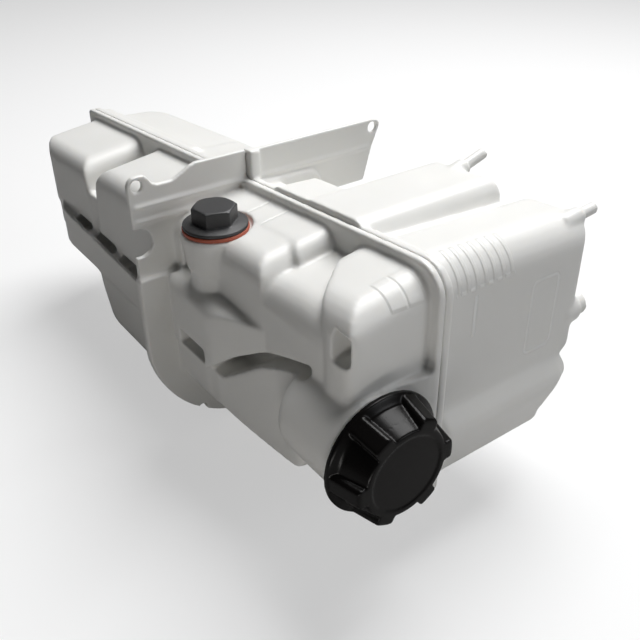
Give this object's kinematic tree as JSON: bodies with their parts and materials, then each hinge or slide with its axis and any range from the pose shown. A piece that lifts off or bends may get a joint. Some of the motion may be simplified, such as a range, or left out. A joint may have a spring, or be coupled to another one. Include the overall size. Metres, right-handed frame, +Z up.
{
  "type": "coolant expansion tank",
  "caption": "White moulded coolant expansion tank of two welded half shells, with a black screw filler cap, a hex level plug with a red seal, bracket plate and hose spigots.",
  "frame": {"origin": "midway between the two holes of the bracket plate, on the plate's face line", "axes": "+X along the tank towards the filler cap, +Y from the front half shell to the rear half shell, +Z up"},
  "size_m": [0.525, 0.2449, 0.2206],
  "materials": {
    "tank_plastic": "satin",
    "cap_plastic": "gloss",
    "dark_plastic": "matte",
    "black_rubber": "matte",
    "red_rubber": "matte",
    "spring_steel": "satin"
  },
  "bodies": {
    "tank": {"front_shell": "tank_plastic", "rear_shell": "tank_plastic"},
    "cap_core": {"cap_core": "dark_plastic", "cap_gasket": "black_rubber", "cap_seal_ring": "black_rubber", "spring_retainer": "dark_plastic", "pressure_spring": "spring_steel"},
    "cap_shell": {"cap_shell": "cap_plastic"},
    "pressure_disc": {"pressure_disc": "red_rubber", "vacuum_spring": "spring_steel"},
    "vacuum_valve": {"vacuum_valve": "spring_steel"},
    "plug_seal": {"plug_seal": "red_rubber"},
    "level_plug": {"level_plug": "dark_plastic"}
  },
  "joints": [
    {"name": "cap_travel", "type": "slide", "parent": "tank", "child": "cap_core", "axis": [1, 0, 0], "range_m": [0, 0.012]},
    {"name": "cap_turn", "type": "hinge", "parent": "cap_core", "child": "cap_shell", "pos_m": [0.227, -0.0615, -0.1011], "axis": [1, 0, 0], "range_deg": [0, 1080]},
    {"name": "pressure_lift", "type": "slide", "parent": "cap_core", "child": "pressure_disc", "axis": [1, 0, 0], "range_m": [0, 0.003], "stiffness_N_per_m": 2000, "springref_m": -0.004, "deforming": ["pressure_spring"]},
    {"name": "vacuum_open", "type": "slide", "parent": "pressure_disc", "child": "vacuum_valve", "axis": [-1, 0, 0], "range_m": [0, 0.002], "stiffness_N_per_m": 200, "springref_m": -0.002, "deforming": ["vacuum_spring"]},
    {"name": "plug_travel", "type": "slide", "parent": "tank", "child": "plug_seal", "axis": [0, 0, 1], "range_m": [0, 0.012]},
    {"name": "plug_turn", "type": "hinge", "parent": "plug_seal", "child": "level_plug", "pos_m": [0.041, -0.065, -0.0246], "axis": [0, 0, 1], "range_deg": [0, 2160]}
  ],
  "couplings": [
    {"joint": "cap_travel", "follows": "cap_turn", "m_per_rad": 0.00063662},
    {"joint": "plug_travel", "follows": "plug_turn", "m_per_rad": 0.00031831}
  ]
}
